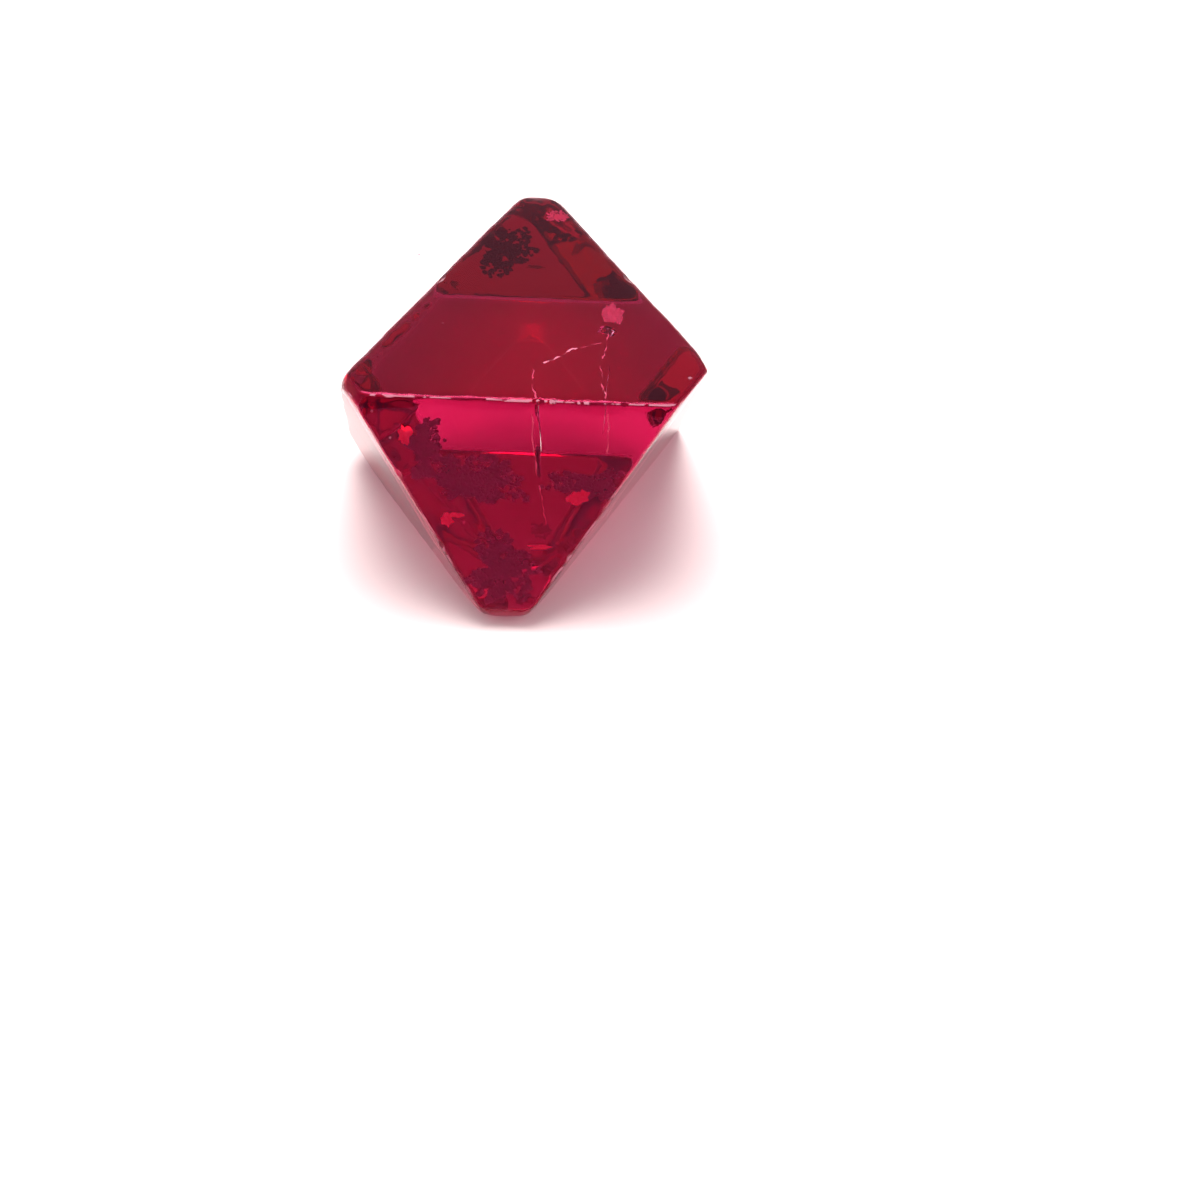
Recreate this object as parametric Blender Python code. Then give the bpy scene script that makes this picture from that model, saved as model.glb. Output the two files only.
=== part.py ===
"""A loose spinel crystal: one deep red octahedron with flat glassy faces.

It lies on one of its eight faces. It grew flat and lop-sided, so each corner of
the octahedron is drawn out into a short edge. The corners are worn round, the
long edges are only rubbed, and a few small chips have flaked off them.

Metres, +Z up. The origin is on the surface that the crystal lies on, under the
middle of its box. +X runs along the ridge between the top and front faces, and
the front face looks towards -Y.
"""
from math import asin, cos, degrees, radians, sin

import bmesh
import bpy
from mathutils import Matrix, Vector

MM = 0.001

# On a crystal that lies on one face, the three upper and the three lower side
# faces all lean by the same angle, which the octahedron fixes.
LEAN = degrees(asin(1 / 3))

# Each face: the compass angle it looks towards, the angle its normal rises above
# the horizontal, and its distance from the middle of the crystal.
FACES = {
    "top": (0, 90, 2.22 * MM),
    "base": (0, -90, 2.22 * MM),
    "front": (-90, LEAN, 2.85 * MM),
    "upper_right": (30, LEAN, 2.94 * MM),
    "upper_left": (150, LEAN, 2.67 * MM),
    "back": (90, -LEAN, 3.39 * MM),
    "lower_left": (210, -LEAN, 2.95 * MM),
    "lower_right": (-30, -LEAN, 2.50 * MM),
}
BLOCK = 14 * MM                # the block that the faces are cut from
SNAP = 0.0002 * MM             # points this near a cut count as lying on it

# Each corner: the two faces of its blade, the two flanks that end the blade, the
# radius it is worn to seen across the blade, how far its tip is set back, and the
# radius it is worn to from one face of the blade over to the other.
CORNERS = [
    ("base", "front", "lower_left", "lower_right", 0.66 * MM, 0.31 * MM, 0.42 * MM),
    ("top", "back", "upper_left", "upper_right", 0.66 * MM, 0.02 * MM, 0.60 * MM),
    ("top", "lower_left", "front", "upper_left", 0.45 * MM, 0.14 * MM, 0.10 * MM),
    ("top", "lower_right", "front", "upper_right", 0.40 * MM, 0.01 * MM, 0.03 * MM),
    ("base", "upper_left", "lower_left", "back", 0.30 * MM, 0.64 * MM, 0.12 * MM),
    ("base", "upper_right", "lower_right", "back", 0.48 * MM, 0.04 * MM, 0.10 * MM),
]
ARC_STEPS = 4                  # cuts from a face round to the worn tip

# A slice off each end of the ridge side of the top face: the three faces of the sharp
# corner, the way the slice faces, and how far it cuts in from that corner.
SLICES = [
    ("top", "upper_right", "lower_right", 17, 15, 0.12 * MM),
    ("top", "upper_left", "lower_left", 186, 8, 0.13 * MM),
]

# How round each long edge is rubbed. The two at the back of the top face are worn
# the most.
EDGES = [
    ("top", "front", 0.07 * MM),
    ("top", "upper_left", 0.17 * MM),
    ("top", "upper_right", 0.17 * MM),
    ("front", "lower_left", 0.05 * MM),
    ("front", "lower_right", 0.05 * MM),
    ("upper_left", "lower_left", 0.07 * MM),
    ("upper_left", "back", 0.07 * MM),
    ("upper_right", "lower_right", 0.07 * MM),
    ("upper_right", "back", 0.07 * MM),
    ("base", "lower_left", 0.05 * MM),
    ("base", "lower_right", 0.05 * MM),
    ("base", "back", 0.07 * MM),
]
EDGE_STEPS = 3                 # cuts from one face over a rubbed edge to the other
SOFT_ANGLE = 28                # joins that turn less than this are shaded smooth

# Chips: the two faces of the edge, the two that end it, the place along it from
# the first end, the radius of the hollow, and how far it bites into the edge.
CHIPS = [
    ("top", "front", "lower_left", "lower_right", 0.570, 0.30 * MM, 0.055 * MM),
    ("top", "front", "lower_left", "lower_right", 0.612, 0.24 * MM, 0.050 * MM),
    ("top", "front", "lower_left", "lower_right", 0.830, 0.22 * MM, 0.040 * MM),
    ("front", "lower_left", "top", "base", 0.33, 0.36 * MM, 0.060 * MM),
    ("front", "lower_left", "top", "base", 0.62, 0.30 * MM, 0.055 * MM),
    ("front", "lower_right", "top", "base", 0.66, 0.34 * MM, 0.060 * MM),
    ("top", "upper_right", "back", "lower_right", 0.55, 0.40 * MM, 0.090 * MM),
    ("top", "upper_left", "lower_left", "back", 0.48, 0.36 * MM, 0.085 * MM),
    ("upper_left", "back", "top", "base", 0.45, 0.44 * MM, 0.065 * MM),
    ("upper_right", "back", "top", "base", 0.60, 0.38 * MM, 0.060 * MM),
]
CHIP_FACETS = 3                # subdivisions of the ball that cuts a chip


def facing(turn, rise):
    """The direction at a compass angle and a height above the horizontal."""
    turn = radians(turn)
    rise = radians(rise)
    return Vector((cos(turn) * cos(rise), sin(turn) * cos(rise), sin(rise)))


def wall(face):
    """A face as the direction it looks towards and its distance."""
    turn, rise, distance = FACES[face]
    return facing(turn, rise), distance


def normal(face):
    return wall(face)[0]


def touching(radius, *walls):
    """The middle of a ball of this radius that touches three walls from inside."""
    directions = Matrix([direction for direction, _ in walls])
    return directions.inverted() @ Vector([distance - radius for _, distance in walls])


def meeting_point(*faces):
    """The point where three faces meet."""
    return touching(0, *[wall(face) for face in faces])


def cut(body, point, direction):
    """Take away what lies beyond a plane, and close the cut with one flat face."""
    geometry = body.verts[:] + body.edges[:] + body.faces[:]
    result = bmesh.ops.bisect_plane(body, geom=geometry, plane_co=point, plane_no=direction,
                                    dist=SNAP, clear_outer=True)
    rim = [item for item in result["geom_cut"] if isinstance(item, bmesh.types.BMEdge)]
    if len(rim) > 2:
        bmesh.ops.contextual_create(body, geom=rim)


def octahedron():
    """A block cut back to the eight faces."""
    body = bmesh.new()
    bmesh.ops.create_cube(body, size=BLOCK)
    for face, (_, _, distance) in FACES.items():
        cut(body, distance * normal(face), normal(face))
    return body


def cut_round(body, centre, radius, first, second, steps):
    """Cut planes that touch a round of this radius, turning from one normal to another."""
    for step in range(1, steps + 1):
        direction = first.slerp(second, (step - 0.5) / steps)
        cut(body, centre + radius * direction, direction)


def round_tip(body, first, last, tip, across, radius):
    """Round from one wall over a worn tip to another wall, seen along a direction.

    Each side is an arc that touches its wall and the tip. Where there is no room for
    two arcs, it is one arc that touches both walls.
    """
    centre = touching(radius, first, last, (across, 0))
    room = centre.dot(tip[0]) + radius > tip[1]
    for side in (first, last):
        if room:
            centre = touching(radius, side, tip, (across, 0))
        cut_round(body, centre, radius, side[0], tip[0], ARC_STEPS)


def wear_corner(body, one, other, flank, far_flank, radius, setback, blade_radius):
    """Round one corner: first seen across its blade, then over its tip."""
    outwards = (normal(one) + normal(other)).normalized()
    along = normal(one).cross(normal(other)).normalized()
    tip = (outwards, meeting_point(one, other, flank).dot(outwards) - setback)
    cut(body, tip[1] * outwards, outwards)
    round_tip(body, wall(flank), wall(far_flank), tip, along.cross(outwards), radius)
    round_tip(body, wall(one), wall(other), tip, along, blade_radius)


def rub_edge(body, one, other, radius):
    """Round one whole edge."""
    along = normal(one).cross(normal(other)).normalized()
    centre = touching(radius, wall(one), wall(other), (along, 0))
    cut_round(body, centre, radius, normal(one), normal(other), EDGE_STEPS)


def slice_corner(body, one, other, third, turn, rise, depth):
    """Cut a small flat off a corner."""
    direction = facing(turn, rise)
    cut(body, meeting_point(one, other, third) - depth * direction, direction)


def chip_cutter(one, other, start, end, place, radius, bite):
    """A ball that bites into an edge: subtracting it leaves a shallow hollow."""
    edge_point = meeting_point(one, other, start).lerp(meeting_point(one, other, end), place)
    outwards = (normal(one) + normal(other)).normalized()
    cutter = bmesh.new()
    bmesh.ops.create_icosphere(cutter, subdivisions=CHIP_FACETS, radius=radius)
    bmesh.ops.translate(cutter, verts=cutter.verts, vec=edge_point + (radius - bite) * outwards)
    mesh = bpy.data.meshes.new("chip_cutter")
    cutter.to_mesh(mesh)
    cutter.free()
    obj = bpy.data.objects.new("chip_cutter", mesh)
    obj.hide_render = True
    obj.display_type = "WIRE"
    bpy.context.collection.objects.link(obj)
    return obj


def red_spinel():
    """Clear deep red crystal."""
    material = bpy.data.materials.new("red_spinel")
    material.use_nodes = True
    shader = material.node_tree.nodes["Principled BSDF"]
    shader.inputs["Base Color"].default_value = (0.45, 0.01, 0.05, 1.0)
    shader.inputs["Roughness"].default_value = 0.04
    shader.inputs["Metallic"].default_value = 0.0
    shader.inputs["IOR"].default_value = 1.718
    shader.inputs["Transmission Weight"].default_value = 1.0
    return material


def spinel_crystal():
    """The whole crystal, set down on its base with its box over the origin."""
    body = octahedron()
    for corner in CORNERS:
        wear_corner(body, *corner)
    for place in SLICES:
        slice_corner(body, *place)
    for edge in EDGES:
        rub_edge(body, *edge)
    bmesh.ops.recalc_face_normals(body, faces=body.faces)
    low = Vector([min(vert.co[axis] for vert in body.verts) for axis in range(3)])
    high = Vector([max(vert.co[axis] for vert in body.verts) for axis in range(3)])
    mesh = bpy.data.meshes.new("spinel_crystal")
    body.to_mesh(mesh)
    body.free()
    mesh.shade_smooth()
    mesh.set_sharp_from_angle(angle=radians(SOFT_ANGLE))
    mesh.materials.append(red_spinel())
    crystal = bpy.data.objects.new("spinel_crystal", mesh)
    bpy.context.collection.objects.link(crystal)
    for chip in CHIPS:
        hollow = crystal.modifiers.new("chip", "BOOLEAN")
        hollow.operation = "DIFFERENCE"
        hollow.object = chip_cutter(*chip)
        hollow.object.parent = crystal
    crystal.location = (-(low.x + high.x) / 2, -(low.y + high.y) / 2, -low.z)


for old in list(bpy.data.objects):
    bpy.data.objects.remove(old)

spinel_crystal()
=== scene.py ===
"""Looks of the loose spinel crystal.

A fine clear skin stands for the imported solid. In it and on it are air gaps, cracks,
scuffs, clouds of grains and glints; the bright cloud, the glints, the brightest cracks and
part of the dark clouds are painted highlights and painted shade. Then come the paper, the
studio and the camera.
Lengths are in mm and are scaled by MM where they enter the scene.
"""

import random
from collections import Counter
from math import cos, radians, sin, tau

import bmesh
import bpy
import numpy as np
from mathutils import Matrix, Vector, noise
from mathutils.bvhtree import BVHTree


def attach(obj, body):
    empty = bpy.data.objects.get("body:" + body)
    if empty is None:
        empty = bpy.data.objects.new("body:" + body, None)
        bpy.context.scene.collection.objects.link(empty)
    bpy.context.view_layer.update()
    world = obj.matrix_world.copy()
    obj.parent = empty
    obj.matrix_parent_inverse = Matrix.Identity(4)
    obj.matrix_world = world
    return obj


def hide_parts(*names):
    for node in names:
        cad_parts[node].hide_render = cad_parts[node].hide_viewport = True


MM = 0.001

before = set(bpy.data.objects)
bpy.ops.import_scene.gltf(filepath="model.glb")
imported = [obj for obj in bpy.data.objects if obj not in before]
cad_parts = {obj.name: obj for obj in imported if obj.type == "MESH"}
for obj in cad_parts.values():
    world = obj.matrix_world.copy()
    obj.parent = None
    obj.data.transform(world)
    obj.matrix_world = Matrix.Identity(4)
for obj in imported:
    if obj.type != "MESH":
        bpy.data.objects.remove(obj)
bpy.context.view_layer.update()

# Camera: the photo's view, as a place and three turns, and its lens on a 36 mm frame.
CAMERA_PLACE = Vector((-1.205, -32.113, 30.941)) * MM
CAMERA_RISE = 46.748
CAMERA_TURN = -5.513
CAMERA_ROLL = 5.773
CAMERA_LENS = 66.76
CAMERA_FRAME = 36
CAMERA_RANGE = (0.001, 10)               # m

# Soft lights in the studio: compass angle, height, full-strength angle, angle where it
# has faded out, and strength. The room adds an even light from all sides.
LIGHTS = [
    (115, 78, 6, 24, 12.0),
    (180, 34, 6, 32, 0.55),
    (0, 32, 6, 30, 0.40),
]
ROOM = (0.64, 0.54, 0.59)

PAPER = (0.95, 0.84, 0.81)
PAPER_ROUGHNESS = 0.9
PAPER_HALF = 0.4                         # m
PAPER_DROP = 0.02                        # how far the paper lies under the crystal

# The fine skin.
CENTRE = Vector((0.05, -0.25, 2.22))     # the point that the skin is measured from
BLOCK = 20                               # the block that its sharp form is cut from
SNAP = 0.0002                            # points this near a cut count as lying on it
SHARP_WALLS = 9                          # the eight faces and the flat that cuts one corner
SMALLEST_FACET = 1e-4                    # twice the area of the smallest facet that counts
WALL_TOLERANCE = 0.001                   # how far a facet may lie behind its wall
ABOVE_ZERO = 1e-6                        # keeps a divisor off zero
TIE_BREAK = 1e-9                         # makes no two edges equally long
SAME_WAY = 0.9995                        # cosine above which two facets are one wall
SKIN_PASSES = 30                         # rounds of splitting the cells
LOOK_AHEAD = 6                           # how many triangles on a longer edge is looked for
FINE = 0.034                             # cell size on the edges
COARSE = 0.7                             # cell size on the flats
GROWTH = 0.5                             # how fast the cells grow away from an edge
SOFTNESS = 0.014                         # how softly neighbouring facets blend
PATCHINESS = 0.7                         # how much that differs from patch to patch
PATCHES = [(1, 1.3), (0.5, 4.1)]
HALVINGS = 40                            # steps of the search for the skin's distance
CHIP_DEPTH = 0.002                       # a solid that is deeper than this has a chip there
WORN_BELOW = 0.992                       # cosine to the nearest face where wear begins
WORN_SPAN = 0.06                         # and the further fall over which it becomes full

# The crystal's material.
CLEARNESS = (0.88, 0.88, 0.88)
INDEX = 1.718
MIRROR_TINT = (1.0, 0.05, 0.22)
BODY_COLOUR = (0.860, 0.0, 0.44)
BODY_DENSITY = 800                       # per metre
FROST = 0.35                             # roughness where an edge is worn most

# Crushed crystal, wherever it scatters light. Some of these colours paint highlights and shade.
MATT = 0.5                               # roughness
FROSTED_MATT = 0.6                       # and that of the frosted edges
CRUSHED_GLOSS = 0.1
CRUSHED = (0.50, 0.19, 0.25)
CLOSED_CRACK = (0.52, 0.05, 0.11)
# open cracks: pale crushed crystal, drawn brighter as a painted highlight of light caught in them
OPEN_CRACK_HIGHLIGHT = (0.72, 0.20, 0.29)
FROSTED_EDGE = (0.52, 0.32, 0.36)
# painted highlight: the pink of the bright cloud and of the flake on the long crack
PAINTED_HIGHLIGHT = (0.85, 0.05, 0.15)
# dark grains: partly inclusions and partly painted shade on the front face
INCLUSIONS_AND_SHADE = (0.12, 0.002, 0.020)
# painted glint: a bright red that stands in for light caught inside the crystal
PAINTED_GLINT = (1.0, 0.005, 0.05)

# Air gaps in the crystal: middle, the way the gap faces, its half sizes, and a seed.
GAPS = [
    ((0.24, -2.30, 3.35), (1.0, 0.12, 0.06), (0.55, 0.95), 1),
    ((1.46, -1.75, 3.85), (1.0, -0.10, 0.02), (0.55, 0.42), 2),
    ((1.49, -0.35, 4.16), (0.30, 0.35, 0.89), (0.16, 0.22), 7),
]
GAP_THICKNESS = 0.006
GAP_RIM = 28                             # points round a gap
GAP_RINGS = [(1.0, 0.0), (0.6, 0.8), (0.6, -0.8)]   # share of its size, share of its thickness
GAP_RAGGED = [(0.35, 1.7)]
GAP_RAGGED_SEEDS = 7.3
GAP_WAVY = [(0.03, 1)]
GAP_WAVY_SEEDS = 3.1
STEEP = 0.9                              # a gap that faces up more than this is a flat one

# Cracks that reach the surface: the face each one crosses, its half width, and points
# along it.
TOP_FACE = Vector((0, 0, 1))
FRONT_FACE = Vector((0, -0.9428, 0.3333))
CLOSED_CRACKS = [
    (TOP_FACE, 0.011, [(0.17, -2.44, 4.44), (0.11, -2.15, 4.44), (0.14, -1.98, 4.44)]),
    (TOP_FACE, 0.007, [(0.12, -1.92, 4.44), (0.08, -1.60, 4.44)]),
    (TOP_FACE, 0.006, [(0.98, -1.00, 4.44), (1.20, -0.88, 4.44), (1.36, -0.80, 4.44)]),
    (TOP_FACE, 0.010, [(1.47, -0.55, 4.44), (1.44, -0.95, 4.44), (1.38, -1.30, 4.44)]),
    (TOP_FACE, 0.008, [(1.37, -1.45, 4.44), (1.34, -1.85, 4.44)]),
    (TOP_FACE, 0.012, [(1.35, -1.95, 4.44), (1.42, -2.38, 4.44)]),
    (FRONT_FACE, 0.008, [(0.10, -2.56, 4.24), (0.16, -2.80, 3.57), (0.24, -2.98, 3.05)]),
    (FRONT_FACE, 0.006, [(0.27, -3.04, 2.88), (0.36, -3.16, 2.54), (0.44, -3.30, 2.14)]),
    (FRONT_FACE, 0.008, [(1.46, -2.55, 4.27), (1.50, -2.70, 3.84), (1.47, -2.83, 3.48)]),
]
# The open cracks, whose bright colour is partly a painted highlight.
OPEN_CRACKS = [
    (TOP_FACE, 0.018, [(0.34, -1.50, 4.44), (0.44, -1.36, 4.44), (0.62, -1.25, 4.44)]),
    (TOP_FACE, 0.015, [(0.66, -1.21, 4.44), (0.80, -1.08, 4.44), (0.93, -1.03, 4.44)]),
    (TOP_FACE, 0.013, [(1.34, -2.12, 4.44), (1.39, -2.26, 4.44)]),
]
CRACK_STEPS = 9                          # points from one place on a crack to the next
CRACK_LIFT = 0.004                       # how far a crack stands out and sinks in
CRACK_DRIFT = [(0.06, 4.3), (0.03, 15)]
CRACK_SWELL = [(2.2, 8.7)]
CRACK_NARROWEST = 0.15                   # share of its half width
CRACK_END = 0.2                          # share of its width that is left at each end

# Bands on the worn edges: the way the worn edge looks, how close to that way the skin
# must look, and the patchiness above which it is bare.
SCUFFED = [
    ((0.0, -0.577, 0.816), 0.965, -0.25),
    ((-0.5, -0.866, 0.0), 0.96, 0.10),
    ((0.5, -0.866, 0.0), 0.96, 0.10),
    ((-0.9, -0.3, 0.3), 0.96, 0.10),
]
FROSTED = [
    ((-0.663, 0.383, 0.643), 0.966, -1.0),
    ((0.663, 0.383, 0.643), 0.966, -1.0),
    ((0.0, 0.616, 0.788), 0.980, -1.0),
]
SHELL_LIFT = 0.003                       # how far a shell stands out and sinks in
SHELL_PATCHES = [(1, 2.1), (0.7, 9.0)]
SHELL_RIM = [(0.03, 6.0)]

# Clouds of fine grains: a bright one under the top face, near its far corner, whose pink
# paints a highlight, and dark ones just behind the front face, partly inclusions and partly
# painted shade, given by their width and height on that face. Then half sizes and number of grains.
CLOUD_SEED = 11
# The bright cloud's pink grains paint a soft highlight near the far corner.
HIGHLIGHT_CLOUD = ((0.60, 2.90, 4.40), (0.24, 0.15), 260)
HIGHLIGHT_GRAINS = (0.012, 0.028)           # their smallest and largest sizes
# The dark clouds darken the front face in patches: partly inclusions, partly painted shade.
DARK_CLOUDS = [
    ((-1.80, 3.45), (0.30, 0.52), 330),
    ((-0.90, 2.86), (0.92, 0.36), 560),
    ((1.20, 2.84), (0.62, 0.28), 340),
    ((-0.34, 1.16), (0.58, 0.56), 560),
]
DARK_GRAINS = (0.025, 0.075)
DARK_THICKNESS = 0.02
DARK_CLEARANCE = 0.12                    # how far they stay behind every face
FRONT_DISTANCE = 2.85                    # how far the front face is from the centre
FRONT_DEPTH = 0.14                       # how far behind it the dark clouds lie
CLOUD_RIM = [(0.9, 2)]
CLOUD_RIM_SEEDS = 20
CLOUD_GATHER = 0.8                       # below 0.5 the grains gather at the rim
GRAIN_FLATNESS = 0.5

# Grains and flakes: place and half sizes.
# The flake's pink paints a highlight of light off the end of the long crack.
HIGHLIGHT_FLAKE = ((1.60, 0.03, 4.385), (0.17, 0.24, 0.02))   # hangs on the end of the long crack
FLAKE_SEED = 4.4
GRAINS = [
    ((0.19, -2.47, 4.425), (0.035, 0.03, 0.02)),
    ((0.33, -2.47, 4.42), (0.03, 0.03, 0.02)),
    ((0.46, -2.48, 4.42), (0.03, 0.025, 0.02)),
    ((-2.75, -2.55, 4.12), (0.025, 0.02, 0.03)),
    ((-2.42, -2.75, 3.66), (0.025, 0.02, 0.03)),
    ((2.95, -1.72, 4.43), (0.035, 0.05, 0.015)),
    ((-2.05, 1.55, 4.43), (0.02, 0.02, 0.01)),
    ((-1.55, -0.45, 4.43), (0.02, 0.02, 0.01)),
]
# Painted glints: flakes inside the crystal, coloured bright to stand in for spots of light.
PAINTED_GLINTS = [
    ((-1.36, -3.20, 2.12), (0.10, 0.03, 0.12)),
    ((-1.20, -3.18, 2.22), (0.12, 0.02, 0.05)),
    ((0.98, -3.04, 2.60), (0.15, 0.03, 0.13)),
    ((1.10, -3.02, 2.66), (0.10, 0.02, 0.12)),
    ((0.36, -3.38, 1.66), (0.17, 0.02, 0.05)),
    ((-2.16, -2.70, 3.70), (0.10, 0.02, 0.20)),
]
DUST_SEEDS = 1.9                         # steps from the seed of one grain to the next
GRAIN_SEEDS = 3.7
GLINT_SEEDS = 5.1
FIRST_GLINT_SEED = 2
BUMPS = [(0.8, 2.2)]
COARSE_BALL = 1                          # subdivisions of a grain
FINE_BALL = 3                            # and of a flake


def uneven(place, waves, shift=(0, 0, 0)):
    """Noise at a place: a sum of waves, each with its strength and its fineness."""
    return sum(strength * noise.noise(place * fineness + Vector(shift)) for strength, fineness in waves)


def cad_triangles(obj):
    """Corner points of the node's triangles."""
    mesh = obj.data
    mesh.calc_loop_triangles()
    points = np.array([obj.matrix_world @ v.co for v in mesh.vertices]) / MM
    triangles = np.array([t.vertices for t in mesh.loop_triangles])
    return points, triangles


def hull_walls(points, triangles):
    """The planes that the whole solid lies behind: every facet except those of the chips."""
    corners = points[triangles]
    normals = np.cross(corners[:, 1] - corners[:, 0], corners[:, 2] - corners[:, 0])
    areas = np.linalg.norm(normals, axis=1)
    walls = []
    for i in np.argsort(-areas):
        if areas[i] < SMALLEST_FACET:
            break
        normal = normals[i] / areas[i]
        distance = float((points @ normal).max())
        if distance - float((corners[i] @ normal).min()) > WALL_TOLERANCE:
            continue
        if any(normal @ other > SAME_WAY for other, _ in walls):
            continue
        walls.append((normal, distance))
    return np.array([normal for normal, _ in walls]), np.array([distance for _, distance in walls])


def cell_size(places, normals, distances):
    """Small next to an edge and large on the flats."""
    heights = places @ normals.T - distances
    highest = heights.argmax(axis=1)
    below = heights.max(axis=1)[:, None] - heights
    slants = np.linalg.norm(np.cross(normals[:, None], normals[None]), axis=2)
    slants = np.maximum(slants, ABOVE_ZERO)
    to_edge = (below + ABOVE_ZERO) / slants[highest]
    to_edge[np.arange(len(places)), highest] = np.inf
    return np.clip(FINE + GROWTH * to_edge.min(axis=1), FINE, COARSE)


def sharp_form(normals, distances):
    """The block cut back to the biggest walls, in triangles."""
    body = bmesh.new()
    bmesh.ops.create_cube(body, size=BLOCK)
    for normal, distance in zip(normals[:SHARP_WALLS], distances):
        geometry = body.verts[:] + body.edges[:] + body.faces[:]
        result = bmesh.ops.bisect_plane(body, geom=geometry, plane_co=normal * distance, plane_no=normal,
                                        dist=SNAP, clear_outer=True)
        rim = [item for item in result["geom_cut"] if isinstance(item, bmesh.types.BMEdge)]
        if len(rim) > 2:
            bmesh.ops.contextual_create(body, geom=rim)
    bmesh.ops.triangulate(body, faces=body.faces)
    return body


def rough_skin(normals, distances):
    """A closed skin of triangles on the sharp form, finest where its edges are worn.

    An edge that is too long is split once it is the longest one of both its triangles.
    Until then, the longer edges beside it are split.
    """
    body = sharp_form(normals, distances)
    for _ in range(SKIN_PASSES):
        body.edges.index_update()
        body.faces.index_update()
        order = np.arange(len(body.edges))
        ends = np.array([(*e.verts[0].co, *e.verts[1].co) for e in body.edges])
        lengths = np.linalg.norm(ends[:, :3] - ends[:, 3:], axis=1) + TIE_BREAK * order
        wanted = cell_size((ends[:, :3] + ends[:, 3:]) / 2, normals, distances)
        sides = np.array([[e.index for e in f.edges] for f in body.faces])
        longest = sides[np.arange(len(sides)), lengths[sides].argmax(axis=1)]
        beside = longest[np.array([[f.index for f in e.link_faces] for e in body.edges])]
        chosen = np.zeros(len(order), bool)
        chosen[longest] = (lengths > wanted)[longest]
        for _ in range(LOOK_AHEAD):
            chosen[beside[chosen].ravel()] = True
        chosen &= (beside == order[:, None]).all(axis=1)
        if not chosen.any():
            break
        bmesh.ops.subdivide_edges(body, edges=[e for e, split in zip(body.edges, chosen) if split],
                                  cuts=1, use_single_edge=True)
    bmesh.ops.recalc_face_normals(body, faces=body.faces)
    return body


def soft_reach(directions, normals, distances, softness):
    """How far the softened skin is from the centre in each direction."""
    slopes = directions @ normals.T
    offsets = distances - normals @ np.array(CENTRE)
    low = np.zeros(len(directions))
    high = (offsets / np.maximum(slopes, ABOVE_ZERO)).min(axis=1)
    for _ in range(HALVINGS):
        middle = (low + high) / 2
        heights = (slopes * middle[:, None] - offsets) / softness[:, None]
        peak = heights.max(axis=1)
        total = peak + np.log(np.exp(heights - peak[:, None]).sum(axis=1))
        low = np.where(total < 0, middle, low)
        high = np.where(total < 0, high, middle)
    return (low + high) / 2


def fine_skin(points, triangles, normals, distances):
    """The skin with soft edges and the chips of the solid, and how worn each point is."""
    body = rough_skin(normals, distances)
    centre = np.array(CENTRE)
    places = np.array([v.co for v in body.verts])
    directions = places - centre
    directions /= np.linalg.norm(directions, axis=1)[:, None]
    patchy = np.array([uneven(Vector(place), PATCHES) for place in places])
    softness = SOFTNESS * (1 + PATCHINESS * np.clip(patchy, -1, 1))
    reach = soft_reach(directions, normals, distances, softness)
    solid = BVHTree.FromPolygons([Vector(p) for p in points], [tuple(t) for t in triangles])
    for i, direction in enumerate(directions):
        place, _, _, distance = solid.ray_cast(CENTRE, Vector(direction))
        if place is not None and distance < reach[i] - CHIP_DEPTH:
            reach[i] = distance
    for vert, direction, distance in zip(body.verts, directions, reach):
        vert.co = Vector(centre + direction * distance) * MM
    body.normal_update()
    lean = np.array([v.normal for v in body.verts]) @ normals[:SHARP_WALLS].T
    return body, np.clip((WORN_BELOW - lean.max(axis=1)) / WORN_SPAN, 0, 1)


def add_gap(body, middle, facing, half_sizes, seed):
    """A thin air gap with a ragged rim, as a void: its faces look into the gap."""
    facing = Vector(facing).normalized()
    level = Vector((0, 0, 1)) if abs(facing.z) < STEEP else Vector((0, 1, 0))
    side = facing.cross(level).normalized()
    up = facing.cross(side)
    centre = Vector(middle)
    rings = []
    for share, lift in GAP_RINGS:
        ring = []
        for i in range(GAP_RIM):
            angle = tau * i / GAP_RIM
            spoke = Vector((cos(angle), sin(angle), 0))
            ragged = 1 + uneven(spoke, GAP_RAGGED, (0, 0, seed * GAP_RAGGED_SEEDS))
            wave = uneven(spoke * share, GAP_WAVY, (0, 0, seed * GAP_WAVY_SEEDS))
            out = half_sizes[0] * spoke.x * side + half_sizes[1] * spoke.y * up
            aside = wave + lift * GAP_THICKNESS / 2
            ring.append(body.verts.new((centre + share * ragged * out + aside * facing) * MM))
        rings.append(ring)
    rim, top, bottom = rings
    caps = [body.verts.new((centre + sign * GAP_THICKNESS / 2 * facing) * MM) for sign in (1, -1)]
    for i in range(GAP_RIM):
        j = (i + 1) % GAP_RIM
        for corners in ((rim[i], top[i], top[j], rim[j]), (rim[j], bottom[j], bottom[i], rim[i]),
                        (top[i], caps[0], top[j]), (bottom[j], caps[1], bottom[i])):
            body.faces.new(corners)


def new_material(name, values):
    """A material with these values on the sockets of its shader."""
    material = bpy.data.materials.new(name)
    material.use_nodes = True
    shader = material.node_tree.nodes["Principled BSDF"]
    for socket, value in values.items():
        shader.inputs[socket].default_value = value
    return material


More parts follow.
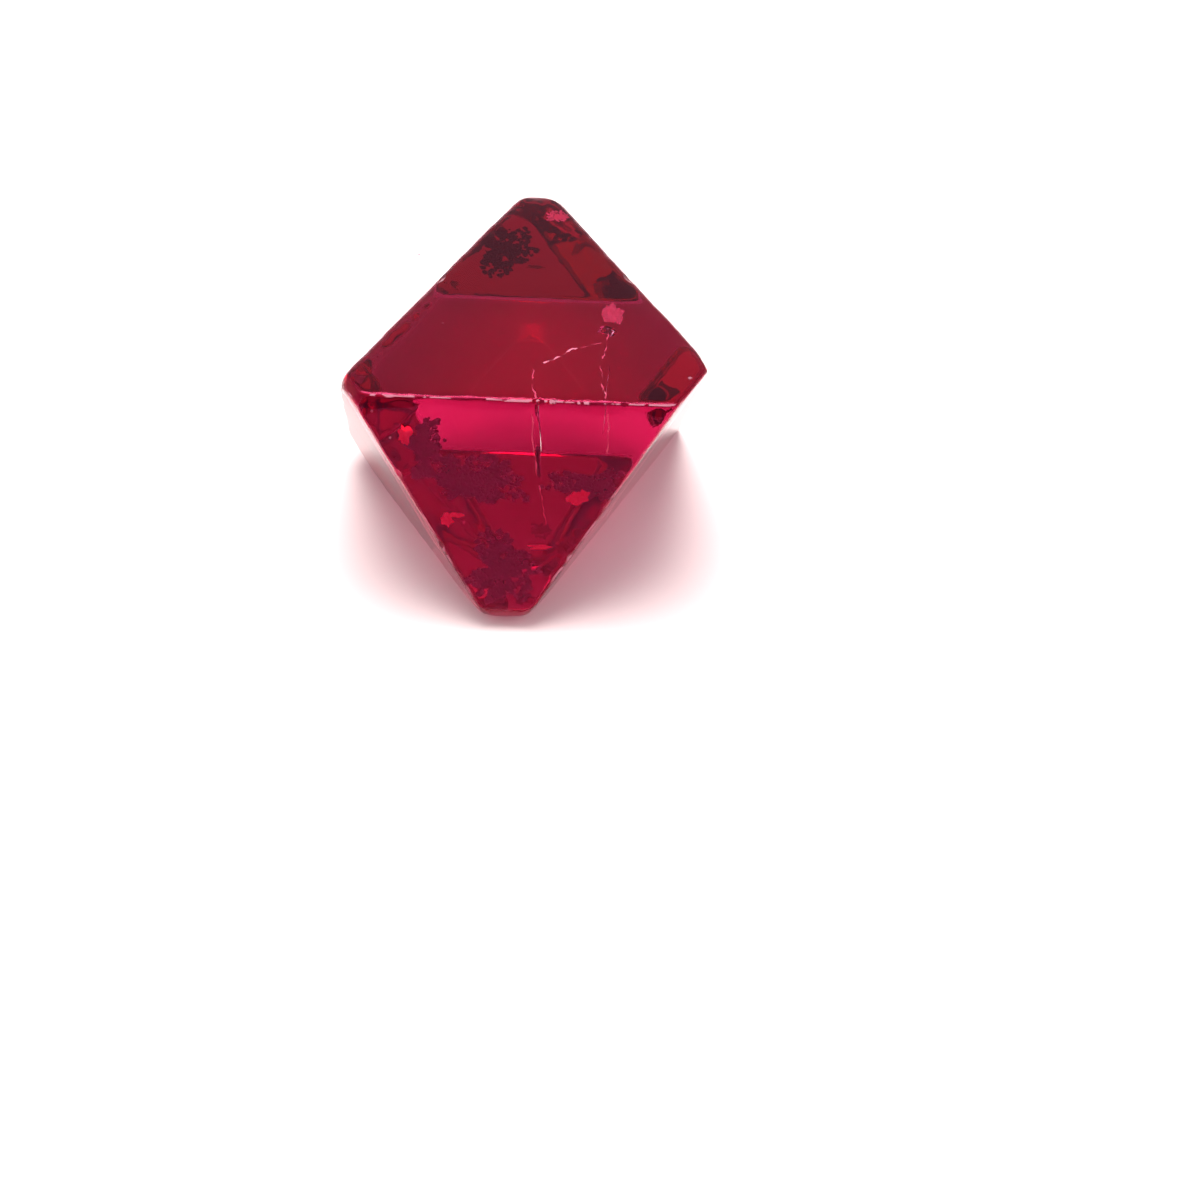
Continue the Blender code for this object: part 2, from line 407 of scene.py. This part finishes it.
def spinel_material():
    """Clear crystal. Its worn edges are frosted, by the wear that the skin carries."""
    material = new_material("red_spinel", {
        "Base Color": (*CLEARNESS, 1),
        "IOR": INDEX,
        "Specular Tint": (*MIRROR_TINT, 1),
        "Transmission Weight": 1.0,
    })
    tree = material.node_tree
    worn = tree.nodes.new("ShaderNodeAttribute")
    worn.attribute_name = "wear"
    frost = tree.nodes.new("ShaderNodeMapRange")
    frost.inputs["To Max"].default_value = FROST
    tree.links.new(worn.outputs["Fac"], frost.inputs["Value"])
    tree.links.new(frost.outputs["Result"], tree.nodes["Principled BSDF"].inputs["Roughness"])
    inside = tree.nodes.new("ShaderNodeVolumeAbsorption")
    inside.inputs["Color"].default_value = (*BODY_COLOUR, 1)
    inside.inputs["Density"].default_value = BODY_DENSITY
    tree.links.new(inside.outputs[0], tree.nodes["Material Output"].inputs["Volume"])
    return material


def crushed_material(name, colour, roughness=MATT):
    return new_material(name, {
        "Base Color": (*colour, 1),
        "Roughness": roughness,
        "Specular IOR Level": CRUSHED_GLOSS,
    })


def crystal_skin(points, triangles, normals, distances):
    """The whole clear crystal, with its air gaps."""
    body, wear = fine_skin(points, triangles, normals, distances)
    for gap in GAPS:
        add_gap(body, *gap)
    wear = np.concatenate([wear, np.zeros(len(body.verts) - len(wear))])
    mesh = bpy.data.meshes.new("crystal_skin")
    body.to_mesh(mesh)
    body.free()
    mesh.attributes.new("wear", "FLOAT", "POINT").data.foreach_set("value", wear)
    mesh.shade_smooth()
    mesh.materials.append(spinel_material())
    piece = bpy.data.objects.new("crystal_skin", mesh)
    bpy.context.scene.collection.objects.link(piece)
    return piece


def thread(body, facing, half_width, places):
    """A thin closed thread along a crack, half sunk in the face it crosses."""
    points = []
    for start, end in zip(places, places[1:]):
        points += [Vector(start).lerp(Vector(end), i / CRACK_STEPS) for i in range(CRACK_STEPS)]
    points.append(Vector(places[-1]))
    rows = []
    for i, point in enumerate(points):
        along = (points[min(i + 1, len(points) - 1)] - points[max(i - 1, 0)]).normalized()
        across = along.cross(facing)
        width = half_width * max(CRACK_NARROWEST, 1 + uneven(point, CRACK_SWELL))
        if i in (0, len(points) - 1):
            width *= CRACK_END
        base = point + uneven(point, CRACK_DRIFT) * across
        corners = (base - width * across, base + CRACK_LIFT * facing,
                   base + width * across, base - CRACK_LIFT * facing)
        rows.append([body.verts.new(corner * MM) for corner in corners])
    for row, after in zip(rows, rows[1:]):
        for i in range(4):
            j = (i + 1) % 4
            body.faces.new((row[i], row[j], after[j], after[i]))
    body.faces.new(rows[0][::-1])
    body.faces.new(rows[-1])


def threads(cracks):
    body = bmesh.new()
    for crack in cracks:
        thread(body, *crack)
    return body


def banded_faces(bare, bands):
    """The faces of the skin that lie in one of the bands.

    Faces go where two patches would touch in one point, so that each patch has a plain
    rim.
    """
    marked = set()
    for vert in bare.verts:
        place = vert.co / MM
        patch = uneven(place, SHELL_PATCHES)
        rim = uneven(place, SHELL_RIM)
        for way, closeness, bare_above in bands:
            if vert.normal.dot(Vector(way)) > closeness + rim and patch > bare_above:
                marked.add(vert)
    chosen = {face for face in bare.faces if all(vert in marked for vert in face.verts)}
    touching = True
    while touching:
        rims = Counter(vert for face in chosen for edge in face.edges
                       if on_rim(edge, chosen) for vert in edge.verts)
        touching = {vert for vert, count in rims.items() if count > 2}
        chosen -= {face for vert in touching for face in vert.link_faces}
    return chosen


def on_rim(edge, chosen):
    return sum(face in chosen for face in edge.link_faces) == 1


def edge_shells(skin, bands):
    """Thin closed shells of crushed crystal on the worn edges of the skin."""
    bare = bmesh.new()
    bare.from_mesh(skin)
    chosen = banded_faces(bare, bands)
    shells = bmesh.new()
    used = [vert for vert in bare.verts if any(face in chosen for face in vert.link_faces)]
    outer = {vert: shells.verts.new(vert.co + SHELL_LIFT * MM * vert.normal) for vert in used}
    inner = {vert: shells.verts.new(vert.co - SHELL_LIFT * MM * vert.normal) for vert in used}
    for face in [face for face in bare.faces if face in chosen]:
        shells.faces.new([outer[vert] for vert in face.verts])
        shells.faces.new([inner[vert] for vert in reversed(face.verts)])
        for loop in face.loops:
            if on_rim(loop.edge, chosen):
                start, end = loop.vert, loop.link_loop_next.vert
                shells.faces.new((outer[end], outer[start], inner[start], inner[end]))
    bare.free()
    return shells


def fleck(body, place, size, seed, subdivisions=COARSE_BALL):
    """One ragged grain or flake."""
    grain = bmesh.ops.create_icosphere(body, subdivisions=subdivisions, radius=1)["verts"]
    for vert in grain:
        bump = 1 + uneven(vert.co, BUMPS, (seed, 0, 0))
        vert.co = (Vector(place) + Vector([c * s * bump for c, s in zip(vert.co, size)])) * MM


def scattered(chance, half_sizes):
    """A random shift inside a ragged oval."""
    angle = chance.uniform(0, tau)
    spoke = Vector((cos(angle), sin(angle), 0))
    rim = 1 + uneven(spoke, CLOUD_RIM, (0, 0, half_sizes[0] * CLOUD_RIM_SEEDS))
    reach = rim * chance.random() ** CLOUD_GATHER
    return half_sizes[0] * reach * cos(angle), half_sizes[1] * reach * sin(angle)


def behind_front(x, z):
    """The point at this width and height, a little behind the front face."""
    reach = FRONT_DISTANCE - FRONT_DEPTH - FRONT_FACE.z * (z - CENTRE.z)
    return Vector((x, CENTRE.y + reach / FRONT_FACE.y, z))


def painted_highlights(chance):
    """The bright cloud, and the flake on the end of the long crack, whose pale pink paints a highlight."""
    body = bmesh.new()
    middle, half_sizes, count = HIGHLIGHT_CLOUD
    for i in range(count):
        radius = chance.uniform(*HIGHLIGHT_GRAINS)
        place = Vector(middle) + Vector((*scattered(chance, half_sizes), 0))
        fleck(body, place, (radius, radius, radius * GRAIN_FLATNESS), i * DUST_SEEDS)
    fleck(body, *HIGHLIGHT_FLAKE, FLAKE_SEED, FINE_BALL)
    return body


def dark_inclusions_and_shade(chance, normals, distances):
    """The dark clouds, partly inclusions and partly painted shade, without the grains that would come near
    a face.
    """
    body = bmesh.new()
    for (x, z), half_sizes, count in DARK_CLOUDS:
        for i in range(count):
            aside, above = scattered(chance, half_sizes)
            place = behind_front(x + aside, z + above)
            radius = chance.uniform(*DARK_GRAINS)
            if (normals @ place - distances).max() < -DARK_CLEARANCE:
                fleck(body, place, (radius, DARK_THICKNESS, radius), i * DUST_SEEDS)
    return body


def pale_grains():
    body = bmesh.new()
    for i, (place, size) in enumerate(GRAINS):
        fleck(body, place, size, i * GRAIN_SEEDS)
    return body


def painted_glints():
    """Pale red flakes inside the crystal whose bright colour paints glints of light: painted highlights."""
    body = bmesh.new()
    for i, (place, size) in enumerate(PAINTED_GLINTS):
        fleck(body, place, size, i * GLINT_SEEDS + FIRST_GLINT_SEED, FINE_BALL)
    return body


def as_piece(name, body, material):
    bmesh.ops.recalc_face_normals(body, faces=body.faces)
    mesh = bpy.data.meshes.new(name)
    body.to_mesh(mesh)
    body.free()
    mesh.materials.append(material)
    piece = bpy.data.objects.new(name, mesh)
    bpy.context.scene.collection.objects.link(piece)
    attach(piece, "root")


def make_floor():
    """Plain pale paper."""
    mesh = bpy.data.meshes.new("floor")
    quarters = ((-1, -1), (1, -1), (1, 1), (-1, 1))
    corners = [(x * PAPER_HALF, y * PAPER_HALF, -PAPER_DROP * MM) for x, y in quarters]
    mesh.from_pydata(corners, [], [(0, 1, 2, 3)])
    mesh.materials.append(new_material("paper", {
        "Base Color": (*PAPER, 1),
        "Roughness": PAPER_ROUGHNESS,
        "Specular IOR Level": 0.0,
    }))
    floor = bpy.data.objects.new("floor", mesh)
    bpy.context.scene.collection.objects.link(floor)


def compass(turn, height):
    """The direction at a compass angle and a height above the horizontal."""
    turn, height = radians(turn), radians(height)
    return Vector((cos(turn) * cos(height), sin(turn) * cos(height), sin(height)))


def make_world():
    """The room's even light, and each soft light as a spot on the sky that fades out."""
    world = bpy.data.worlds.new("studio")
    bpy.context.scene.world = world
    world.use_nodes = True
    tree = world.node_tree
    where = tree.nodes.new("ShaderNodeTexCoord").outputs["Generated"]
    room = tree.nodes.new("ShaderNodeRGB")
    total = room.outputs["Color"]
    total.default_value = (*ROOM, 1)
    for turn, height, full, faded, strength in LIGHTS:
        near = tree.nodes.new("ShaderNodeVectorMath")
        near.operation = "DOT_PRODUCT"
        near.inputs[1].default_value = compass(turn, height)
        tree.links.new(where, near.inputs[0])
        fade = tree.nodes.new("ShaderNodeMapRange")
        fade.interpolation_type = "SMOOTHSTEP"
        fade.inputs["From Min"].default_value = cos(radians(faded))
        fade.inputs["From Max"].default_value = cos(radians(full))
        fade.inputs["To Max"].default_value = strength
        tree.links.new(near.outputs["Value"], fade.inputs["Value"])
        both = tree.nodes.new("ShaderNodeVectorMath")
        tree.links.new(total, both.inputs[0])
        tree.links.new(fade.outputs["Result"], both.inputs[1])
        total = both.outputs["Vector"]
    tree.links.new(total, tree.nodes["Background"].inputs["Color"])


def make_camera():
    turn, rise, roll = (radians(angle) for angle in (CAMERA_TURN, CAMERA_RISE, CAMERA_ROLL))
    back = Vector((sin(turn) * cos(rise), -cos(turn) * cos(rise), sin(rise)))
    level = Vector((cos(turn), sin(turn), 0))
    steep = back.cross(level)
    right = cos(roll) * level + sin(roll) * steep
    up = -sin(roll) * level + cos(roll) * steep
    data = bpy.data.cameras.new("camera")
    data.lens = CAMERA_LENS
    data.sensor_width = CAMERA_FRAME
    data.clip_start, data.clip_end = CAMERA_RANGE
    camera = bpy.data.objects.new("camera", data)
    camera.matrix_world = Matrix.Translation(CAMERA_PLACE) @ Matrix((right, up, back)).transposed().to_4x4()
    bpy.context.scene.collection.objects.link(camera)
    bpy.context.scene.camera = camera


points, triangles = cad_triangles(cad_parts["spinel_crystal"])
normals, distances = hull_walls(points, triangles)

crystal = crystal_skin(points, triangles, normals, distances)
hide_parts("spinel_crystal")
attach(crystal, "root")

chance = random.Random(CLOUD_SEED)
crushed = crushed_material("crushed_crystal", CRUSHED)
as_piece("surface_cracks", threads(CLOSED_CRACKS), crushed_material("closed_crack", CLOSED_CRACK))
# partly cracks and partly painted highlight: the open cracks
as_piece("crack_highlights", threads(OPEN_CRACKS), crushed_material("open_crack_highlight", OPEN_CRACK_HIGHLIGHT))
as_piece("edge_scuffs", edge_shells(crystal.data, SCUFFED), crushed)
frosted = crushed_material("edge_frost", FROSTED_EDGE, FROSTED_MATT)
as_piece("edge_frost", edge_shells(crystal.data, FROSTED), frosted)
# painted highlights: the bright cloud and the flake
as_piece("painted_highlights", painted_highlights(chance), crushed_material("painted_highlight", PAINTED_HIGHLIGHT))
# partly inclusions and partly painted shade: the dark clouds
as_piece("dark_inclusions_and_shade", dark_inclusions_and_shade(chance, normals, distances), crushed_material("inclusions_and_painted_shade", INCLUSIONS_AND_SHADE))
as_piece("pale_grains", pale_grains(), crushed)
# painted highlights: the glints
as_piece("painted_glints", painted_glints(), crushed_material("painted_glint", PAINTED_GLINT))

make_floor()
make_world()
make_camera()
bpy.context.scene.view_settings.view_transform = "Standard"
